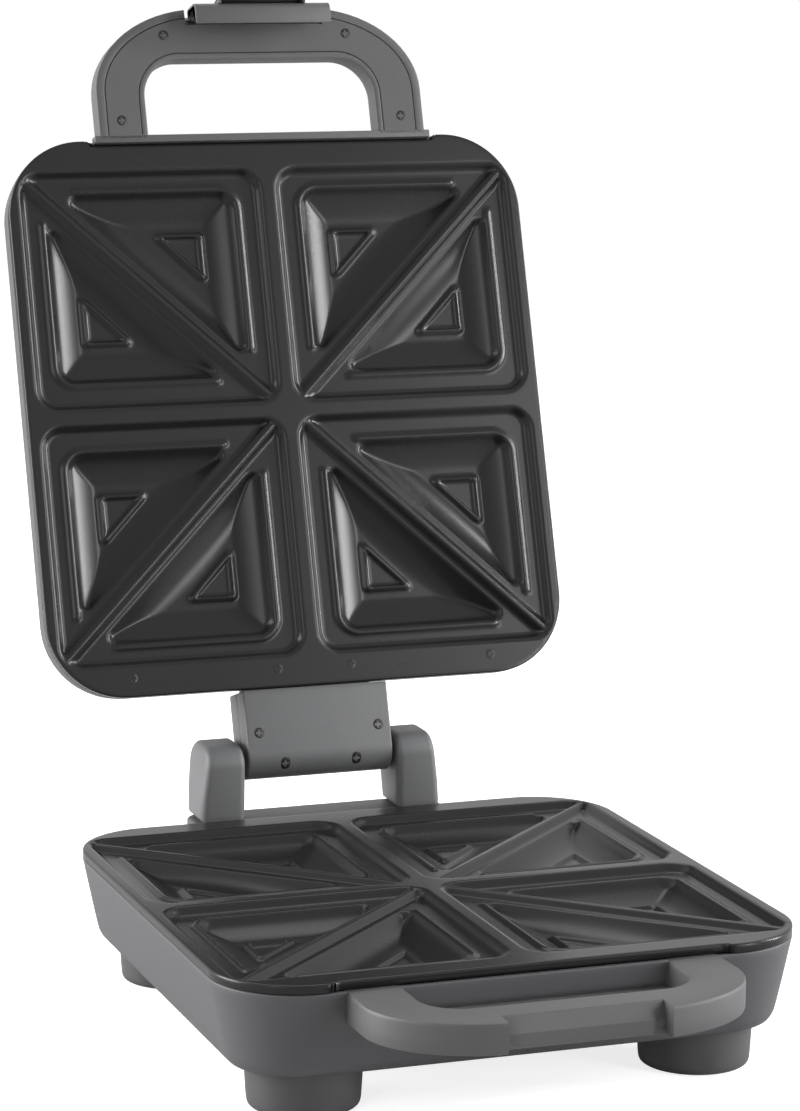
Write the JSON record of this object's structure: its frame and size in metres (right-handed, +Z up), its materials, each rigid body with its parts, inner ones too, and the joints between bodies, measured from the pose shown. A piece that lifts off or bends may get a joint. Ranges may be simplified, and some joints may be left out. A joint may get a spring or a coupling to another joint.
{
  "type": "sandwich toaster",
  "caption": "Countertop sandwich toaster with a hinged lid: cast plates with diagonal ridges and triangular pockets, bow handles, a latch clip and round feet.",
  "frame": {"origin": "middle of the open toaster's outer box, on the plane that its feet rest on", "axes": "+X to the right seen from the handles, +Y from the handles to the hinge, +Z up"},
  "size_m": [0.29, 0.515, 0.4961],
  "materials": {
    "shell_plastic": "fine matt moulding in dark grey",
    "handle_plastic": "fine matt moulding in dark grey, a little lighter",
    "plate_coating": "cast aluminium under a smooth black non-stick coating",
    "foot_plastic": "matt moulding in darker grey",
    "rubber": "matt black rubber",
    "dark_screw": "blackened steel",
    "steel": "plain steel",
    "heater_steel": "heat-darkened steel tube",
    "reflector_sheet": "bright aluminised sheet",
    "ceramic": "pale ceramic and moulded insulation",
    "lamp_red": "clear red lens"
  },
  "bodies": {
    "base": {"base_shell": "shell_plastic", "base_handle_cover": "handle_plastic", "base_handle_screws": "dark_screw", "foot_front_left": "foot_plastic", "foot_front_right": "foot_plastic", "foot_rear_left": "foot_plastic", "foot_rear_right": "foot_plastic", "foot_pads": "rubber", "foot_screws": "steel", "lower_plate": "plate_coating", "lower_plate_screws": "steel", "lower_heater": "heater_steel", "lower_heater_clamps": "steel", "lower_reflector": "reflector_sheet", "lower_thermostat": "ceramic", "thermal_fuse": "steel", "terminal_block": "ceramic", "cord_gland": "rubber", "hinge_post_left": "handle_plastic", "hinge_post_right": "handle_plastic", "post_screws": "steel", "hinge_pins": "steel"},
    "lid": {"lid_shell": "shell_plastic", "upper_plate": "plate_coating", "upper_plate_screws": "dark_screw", "upper_heater": "heater_steel", "upper_heater_clamps": "steel", "upper_reflector": "reflector_sheet", "upper_thermostat": "ceramic", "lid_handle": "handle_plastic", "lid_handle_cover": "handle_plastic", "handle_screws": "dark_screw", "hinge_arm": "handle_plastic", "hinge_arm_cover": "handle_plastic", "arm_screws": "dark_screw", "lamp_holder": "ceramic", "lamp_lenses": "lamp_red", "latch_pin": "steel", "latch_spring": "steel"},
    "latch": {"latch_clip": "handle_plastic"}
  },
  "joints": [
    {"name": "lid_hinge", "type": "hinge", "parent": "base", "child": "lid", "pos_m": [0, 0.1434, 0.0947], "axis": [1, 0, 0], "range_deg": [0, 108]},
    {"name": "latch_swing", "type": "hinge", "parent": "lid", "child": "latch", "pos_m": [0, 0.24573, 0.48309], "axis": [-1, 0, 0], "range_deg": [0, 40], "stiffness_Nm_per_rad": 0.02, "springref_deg": -22.92}
  ]
}
